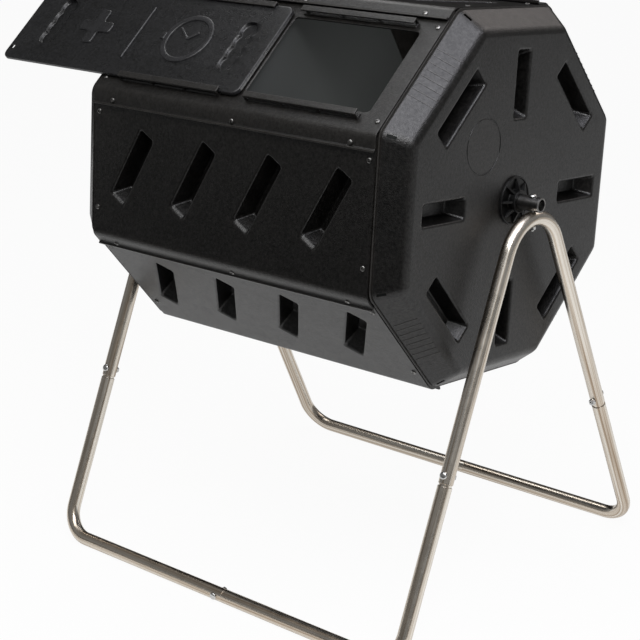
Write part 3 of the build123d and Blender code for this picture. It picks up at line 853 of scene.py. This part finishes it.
for hand, hand_name in hands:
    cap = cap_skin()
    bead = seam_bead()
    lines = bmesh.new()
    cutter = bmesh.new()
    for i in range(side_count):
        on_band(cutter, (2 * i + 1) * octagon_turn, slot_size, octagon_reach, 0, slot_from_seam)
    for i in range(1, side_count, 2):
        for j in range(line_count):
            along = (j - (line_count - 1) / 2) * line_pitch
            on_band(lines, 2 * i * octagon_turn, line_size, 1, along, (face_x - band_start) / 2)
    for mesh in (cap, bead, lines, cutter):
        on_end(mesh, hand)
    node = "end_cap_" + hand_name
    piece = finished(cap, node + "_moulding", "drum", drum_plastic, [node], soft_edge)
    rounded(lines, lines.edges[:], line_edge, 2)
    finished(lines, node + "_grip_lines", "drum", drum_plastic)
    finished(bead, node + "_seam_bead", "drum", drum_plastic)
    slotted(piece, cutter)

# Hub bushings
# A black nylon bushing sits in the middle of each end cap and runs on the axle. Its round flange lies on the
# face and is stiffened by eight tapered ribs that run out from the boss.
hub_flange = 36 * mm
flange_top = 4 * mm
flange_edge = 0.8 * mm
hub_rim = 1.6 * mm
rim_top = 2.2 * mm
rim_foot = 3 * mm
hub_boss = 17 * mm
boss_out = 14 * mm
boss_edge = 1 * mm
boss_foot = 1.5 * mm
hub_sleeve = 26 * mm
sleeve_edge = 0.5 * mm
axle_bore = 11.18 * mm
bore_edge = 0.6 * mm
rib_count = 8
rib_wall = 3 * mm
rib_reach = 33 * mm
rib_rise = 9 * mm
rib_root = 0.5 * mm
hub_profile = (
    (axle_bore, -hub_sleeve), (hub_boss - sleeve_edge, -hub_sleeve), (hub_boss, sleeve_edge - hub_sleeve),
    (hub_boss, 0), (hub_flange, 0), (hub_flange, flange_top - flange_edge),
    (hub_flange - flange_edge, flange_top), (hub_flange - rim_top, flange_top),
    (hub_flange - rim_foot, flange_top - hub_rim), (hub_boss + boss_foot, flange_top - hub_rim),
    (hub_boss, flange_top), (hub_boss, boss_out - boss_edge), (hub_boss - boss_edge, boss_out),
    (axle_bore + bore_edge, boss_out), (axle_bore, boss_out - bore_edge), (axle_bore, -hub_sleeve),
)

# The hub's colour is darker and its shine lower than the drum's: its own black with painted shade on top.
hub_black_and_painted_shade = ((0.002, 0.002, 0.002), (0.004, 0.004, 0.004))
hub_plastic = black_plastic("hub_nylon_with_painted_shade", *hub_black_and_painted_shade, 0.34, 0.0001, 0.24)

for hand, hand_name in hands:
    hub = bmesh.new()
    turned(hub, hub_profile, face_out)
    rib_middle = ((rib_reach + hub_boss) / 2 - rib_root, 0, flange_top - hub_rim + rib_rise / 2)
    for i in range(rib_count):
        rib = bmesh.ops.create_cube(hub, size=1)["verts"]
        bmesh.ops.scale(hub, vec=(rib_reach - hub_boss, rib_wall, rib_rise), verts=rib)
        bmesh.ops.translate(hub, vec=rib_middle, verts=rib)
        outer = [vert for vert in rib if vert.co.x > hub_boss and vert.co.z > flange_top]
        bmesh.ops.translate(hub, vec=(0, 0, hub_rim - rib_rise), verts=outer)
        spread = Matrix.Rotation(i * 2 * math.pi / rib_count, 4, "Z")
        moved(hub, face_out @ spread, rib)
    on_end(hub, hand)
    faced_out(hub)
    node = "hub_bushing_" + hand_name
    finished(hub, node + "_ribbed", "drum", hub_plastic, [node], soft_edge)

# Screws
# Small dark steel pan-head screws with a cross recess. Two hold each panel's end to a cap's skirt, and three
# hold each flange to the panel it laps over; the middle one bites the divider's tab.
screw_head = 4 * mm
screw_crown = 0.8
crown_drop = 0.35 * mm
shoulder_drop = 0.75 * mm
screw_side = 1 * mm
screw_steps = 24
screw_radius = 2 * mm
screw_length = 11 * mm
screw_tip = 2 * mm
tip_share = 0.15
screw_twist = 0.7
cross_half = 2 * mm
cross_depth = 1.1 * mm
end_screw_x = 268.5 * mm
end_screw_v = 75 * mm
door_screw_low_v = -97 * mm
lap_screw_x = (-236 * mm, 14 * mm, 236 * mm)
lap_screw_v = 95.3 * mm


def add_screw(mesh, place):
    """Domed head with a cross recess, and its shank."""
    top = place @ Matrix.Translation((0, 0, crown_drop + shoulder_drop + screw_side))
    grid = bmesh.ops.create_grid(mesh, x_segments=3, y_segments=3, size=cross_half, matrix=top)["verts"]
    corners = [vert for vert in grid if len(vert.link_faces) == 1]
    faces = {face for vert in grid for face in vert.link_faces}
    arms = [face for face in faces if not any(vert in corners for vert in face.verts)]
    bmesh.ops.delete(mesh, geom=corners, context="VERTS")
    cross = list({edge for face in arms for edge in face.edges if edge.is_boundary})
    crown_place = top @ Matrix.Translation((0, 0, -crown_drop))
    crown = ring_of(mesh, screw_steps, screw_head * screw_crown, crown_place)
    bmesh.ops.bridge_loops(mesh, edges=cross + crown)
    floor = bmesh.ops.extrude_face_region(mesh, geom=arms)["geom"]
    bmesh.ops.translate(mesh, vec=(0, 0, -cross_depth), space=top.inverted(), verts=only(BMVert, floor))
    bmesh.ops.delete(mesh, geom=arms, context="FACES")
    inward = screw_radius / screw_head
    ring = drawn(mesh, crown, (0, 0, -shoulder_drop), (1 / screw_crown, 1 / screw_crown, 1), top)
    ring = drawn(mesh, ring, (0, 0, -screw_side), place=top)
    ring = drawn(mesh, ring, (0, 0, 0), (inward, inward, 1), top)
    ring = drawn(mesh, ring, (0, 0, screw_tip - screw_length), place=top)
    ring = drawn(mesh, ring, (0, 0, -screw_tip), (tip_share, tip_share, 1), top)
    bmesh.ops.edgeloop_fill(mesh, edges=ring)


screw_groups = {"end_screws_right": [], "end_screws_left": [], "lap_screws": []}
for i in range(side_count):
    angle = i * side_angle
    low = door_screw_low_v if angle == door_angle else -end_screw_v
    for v in (low, end_screw_v):
        for hand, hand_name in hands:
            screw_groups["end_screws_" + hand_name].append(on_side(angle, hand * end_screw_x, v))
    for x in lap_screw_x:
        screw_groups["lap_screws"].append(on_side(angle, x, lap_screw_v, flange_out))
for node, places in screw_groups.items():
    screws = bmesh.new()
    for count, place in enumerate(places):
        add_screw(screws, place @ Matrix.Rotation(screw_twist * count, 4, "Z"))
    faced_out(screws)
    finished(screws, node + "_pan_head", "drum", dark_steel, [node])

# Sliding door
# A shallow black tray that slides in the rails. A plus and a clock are moulded on it, one over each chamber,
# with a line between them, a scalloped finger grip near each end and a small hole in one corner.
door_size = (524 * mm, 170 * mm)
door_x = -252 * mm
door_v = -10 * mm
door_seat = 2.6 * mm
door_height = 5.8 * mm
door_wall = 2.4 * mm
door_corner = 14 * mm
door_edge = 2.4 * mm
rim_steps = ((1.4, 0.3), (2.1, 1.0), (2.4, 2.2), (2.4, 5.8))
sign_height = 2.2 * mm
sign_edge = 2.1 * mm
sign_edge_steps = 3
sign_x = 101 * mm
plus_span = 70 * mm
plus_arm = 21 * mm
plus_corner = 6 * mm
plus_corner_steps = 4
clock_radius = 47 * mm
clock_ring = 10 * mm
clock_steps = 64
clock_hands = ((32 * mm, 143), (22 * mm, 40))
hand_width = 5 * mm
crown_size = (9 * mm, 13 * mm)
crown_root = 1 * mm
line_length = 104 * mm
line_width = 4 * mm
line_x = -5 * mm
grip_x = (-193 * mm, 205 * mm)
grip_lobes = 4
grip_pitch = 21.6 * mm
grip_slope = 0.1
grip_scallop = 3.6 * mm
grip_end = 4.5 * mm
grip_steps = ((11.8, 0.0, 1.7), (11.2, 0.35, 1.4), (10.3, 1.2, 1.15), (8.9, 3.2, 1.02), (8.2, 4.5, 1.0),
              (7.4, 4.9, 0.95))
lobe_steps = 6
hole_radius = 4.5 * mm
hole_steps = 24
hole_inset = (9 * mm, 22 * mm)

door_black = ((0.0014, 0.0014, 0.0015), (0.0092, 0.0092, 0.0098))
door_plastic = black_plastic("door_black_plastic", *door_black, 0.29, 0.0005)


def bowed(mesh, first, last, bow):
    """Row of edges from one point to the next that bows out to the right of the way."""
    half = (last - first) / 2
    radius = (half.length_squared + bow ** 2) / (2 * bow)
    aside = half.cross(Vector((0, 0, 1))).normalized()
    centre = first + half + aside * (bow - radius)
    bmesh.ops.spin(mesh, geom=[mesh.verts.new(first)], cent=centre, axis=(0, 0, 1),
                   angle=2 * math.asin(half.length / radius), steps=lobe_steps, use_merge=False)


def grip_ring(mesh, x, half, depth, reach):
    """Closed row of edges round a finger grip with scalloped sides; its right side is drawn out by reach."""
    before = set(mesh.verts)
    rows = [(i - grip_lobes / 2) * (grip_pitch - grip_slope * depth) for i in range(grip_lobes + 1)]
    points = [Vector((x + half, y, -depth)) for y in rows]
    points += [Vector((x - half, y, -depth)) for y in rows[::-1]]
    for first, last in zip(points, points[1:] + points[:1]):
        bowed(mesh, first, last, grip_scallop if first.x == last.x else grip_end)
    made = fresh(mesh, before)
    bmesh.ops.remove_doubles(mesh, verts=made, dist=near)
    made = fresh(mesh, before)
    right = [vert for vert in made if vert.co.x > x]
    bmesh.ops.scale(mesh, vec=(reach, 1, 1), space=Matrix.Translation((-x, 0, 0)), verts=right)
    return edges_at(made)


door = bmesh.new()
size = [side - 2 * door_edge for side in door_size]
rim = outline(door, *size, door_corner - door_edge, Matrix())
grips = []
for x in grip_x:
    grips.append([grip_ring(door, x, half * mm, depth * mm, reach) for half, depth, reach in grip_steps])
hole_place = (hole_inset[0] - door_size[0] / 2, hole_inset[1] - door_size[1] / 2, 0)
hole = ring_of(door, hole_steps, hole_radius, Matrix.Translation(hole_place))
flat_filled(door, rim + grips[0][0] + grips[1][0] + hole)
for rings in grips:
    for upper, lower in zip(rings, rings[1:]):
        bmesh.ops.bridge_loops(door, edges=upper + lower)
    flat_filled(door, rings[-1])
reached = 0
for out, drop in rim_steps:
    new_size = [side - 2 * door_edge + 2 * out * mm for side in door_size]
    grow = [new / old for new, old in zip(new_size, size)]
    rim = drawn(door, rim, (0, 0, (reached - drop) * mm), (*grow, 1))
    reached = drop
    size = new_size
skinned(door, door_wall)


def raised(mesh, corners, corner, place):
    """Sign that stands half sunk in the door, from its outline's corners, with a soft upper edge."""
    before = set(mesh.verts)
    verts = [mesh.verts.new((*point, -sign_height)) for point in corners]
    mesh.faces.new(verts)
    if corner:
        rounded(mesh, verts, corner, plus_corner_steps, "VERTICES")
    base = next(face for face in mesh.faces if all(vert not in before for vert in face.verts))
    top = bmesh.ops.extrude_face_region(mesh, geom=[base])["geom"]
    bmesh.ops.translate(mesh, vec=(0, 0, 2 * sign_height), verts=only(BMVert, top))
    rounded(mesh, only(BMEdge, top), sign_edge, sign_edge_steps)
    made = fresh(mesh, before)
    moved(mesh, place, made)


def bar(length, width):
    """Corners of a bar's outline about its middle."""
    return [(x * length / 2, y * width / 2) for x, y in ((-1, -1), (1, -1), (1, 1), (-1, 1))]


signs = bmesh.new()
arm = plus_arm / 2
tip = plus_span / 2
plus = []
for i in range(4):
    turn = Matrix.Rotation(i * math.pi / 2, 2)
    plus += [tuple(turn @ Vector(point)) for point in ((tip, -arm), (tip, arm), (arm, arm))]
clock_place = Matrix.Translation((sign_x, 0, 0))
crown_place = Matrix.Translation((sign_x - clock_radius - crown_size[0] / 2 + crown_root, 0, 0))
raised(signs, plus, plus_corner, Matrix.Translation((-sign_x, 0, 0)))
raised(signs, bar(line_width, line_length), 0, Matrix.Translation((line_x, 0, 0)))
for length, angle in clock_hands:
    place = clock_place @ Matrix.Rotation(math.radians(angle), 4, "Z")
    raised(signs, bar(length, hand_width), 0, place @ Matrix.Translation((length / 2, 0, 0)))
raised(signs, bar(*crown_size), 0, crown_place)
inner = clock_radius - clock_ring
ring_edge = ((0, -1), (1 / 3, -1 / 3), (1, 0))
clock_profile = [(inner, -sign_height)]
clock_profile += [(inner + sign_edge * r, sign_height + sign_edge * h) for r, h in ring_edge]
clock_profile += [(clock_radius - sign_edge * r, sign_height + sign_edge * h) for r, h in ring_edge[::-1]]
clock_profile += [(clock_radius, -sign_height), (inner, -sign_height)]
turned(signs, clock_profile, clock_place, clock_steps)
faced_out(signs)
joined(door, signs)
door_place = on_side(door_angle, door_x, door_v, door_seat + door_height)
moved(door, door_place)
finished(door, "sliding_door_tray", "door", door_plastic, ["sliding_door"], soft_edge)

# Floor, light and camera
# A wide pale floor and an even grey room. Four soft lamps hang overhead, one is beside the camera and one
# above it, one is behind and a small one is in the open chamber. Two dark cards show in reflections alone.
floor_size = (12.0, 12.0)
white_seen = 0.95
white_mirrored = 0.6
room_light = 0.17
card_grey = 0.01
white = (1.0, 1.0, 1.0)
lamps = {
    "top_lamp": (3.8, (0.95, 0.85), (-0.03, -0.27, 1.75), (-0.03, -0.27, 0.8), (0.97, 0.98, 1.0)),
    "front_lamp": (9.0, (1.0, 0.65), (0.12, -0.93, 1.75), (0.12, -0.93, 0.8), white),
    "left_lamp": (3.8, (0.9, 0.34), (-0.8, 0.44, 1.75), (-0.8, 0.44, 0.8), white),
    "side_lamp": (11.4, (0.8, 1.1), (0.85, -0.3, 1.75), (0.85, -0.3, 0.8), (0.92, 0.92, 1.0)),
    "fill_lamp": (2.2, (1.0, 1.0), (2.3, -1.96, 1.9), (0.4, -0.15, 0.45), white),
    "high_lamp": (18.0, (0.7, 0.7), (1.5, -1.4, 2.45), (0, 0, 0.8), white),
    "back_lamp": (6.5, (1.2, 1.2), (0.42, 1.7, 2.1), (0.3, 0, 0.8), (1.0, 0.92, 0.89)),
    "chamber_lamp": (0.5, (0.2, 0.2), (0.27, 0.02, 0.74), (0, 0.02, 0.76), white),
}
cards = {
    "front_card": ((8.0, 4.0), Matrix.Translation((0.0, -2.8, 0.004))),
    "rear_card": ((6.0, 2.6), looking((-2.0, 2.2, 1.31), (1, -1, 0))),
}
camera_place = Vector((1.694136, -2.013229, 1.282808))
camera_target = Vector((-0.059561, 0, 0.310424))
camera_roll = math.radians(-0.967)
camera_lens = 95.93
camera_sensor = 36.0
camera_shift = (0.0014, 0.05)


def stage_sheet(name, size, place, material):
    """Flat sheet that belongs to the stage."""
    mesh = bmesh.new()
    bmesh.ops.create_grid(mesh, x_segments=1, y_segments=1, size=0.5)
    moved(mesh, place @ Matrix.Diagonal((*size, 1, 1)))
    sheet = shown(name, settled(mesh, name))
    sheet.data.materials.append(material)
    return sheet


paper, tree, shader = blank_material("pale_floor")
fill(shader, Base_Color=(0.86, 0.86, 0.85, 1), Roughness=0.9, Specular_IOR_Level=0.1)
glow = put(tree, "Emission", Color=(*white, 1), Strength=1.0)
rays = put(tree, "LightPath").outputs
seen = reckon(tree, "Math", "MAXIMUM", rays["Is Camera Ray"], rays["Is Transmission Ray"])
straight = reckon(tree, "Math", "MULTIPLY", seen, white_seen)
mirrored = reckon(tree, "Math", "MULTIPLY", rays["Is Glossy Ray"], white_mirrored)
lit = put(tree, "MixShader", Fac=reckon(tree, "Math", "MAXIMUM", straight, mirrored))
wired(lit.inputs[1], shader.outputs["BSDF"])
wired(lit.inputs[2], glow.outputs["Emission"])
wired(tree.nodes["Material Output"].inputs["Surface"], lit.outputs["Shader"])
stage_sheet("floor", floor_size, Matrix(), paper)

room = bpy.data.worlds.new("room")
bpy.context.scene.world = room
room.use_nodes = True
fill(room.node_tree.nodes["Background"], Color=(*white, 1), Strength=room_light)

felt, tree, shader = blank_material("dark_felt")
fill(shader, Base_Color=(card_grey, card_grey, card_grey, 1), Roughness=1.0, Specular_IOR_Level=0.0)
for name, (size, place) in cards.items():
    card = stage_sheet(name, size, place, felt)
    card.visible_camera = False
    card.visible_diffuse = False
    card.visible_shadow = False

# Each lamp has its power, its size, its place, the point it is aimed at and its colour.
for name, (power, size, spot, aim, colour) in lamps.items():
    lamp_data = bpy.data.lights.new(name, "AREA")
    lamp_data.energy = power
    lamp_data.color = colour
    lamp_data.shape = "RECTANGLE"
    lamp_data.size, lamp_data.size_y = size
    back = (Vector(spot) - Vector(aim)).normalized()
    wide = Vector((0, 1, 0)).cross(back).normalized()
    turn = Matrix((wide, back.cross(wide), back)).transposed().to_4x4()
    shown(name, lamp_data).matrix_world = Matrix.Translation(spot) @ turn

camera_data = bpy.data.cameras.new("camera")
camera_data.lens = camera_lens
camera_data.sensor_width = camera_sensor
camera_data.shift_x, camera_data.shift_y = camera_shift
camera = shown("camera", camera_data)
facing = looking(camera_place, camera_place - camera_target)
camera.matrix_world = facing @ Matrix.Rotation(camera_roll, 4, "Z")
bpy.context.scene.camera = camera
bpy.context.scene.view_settings.view_transform = "Standard"
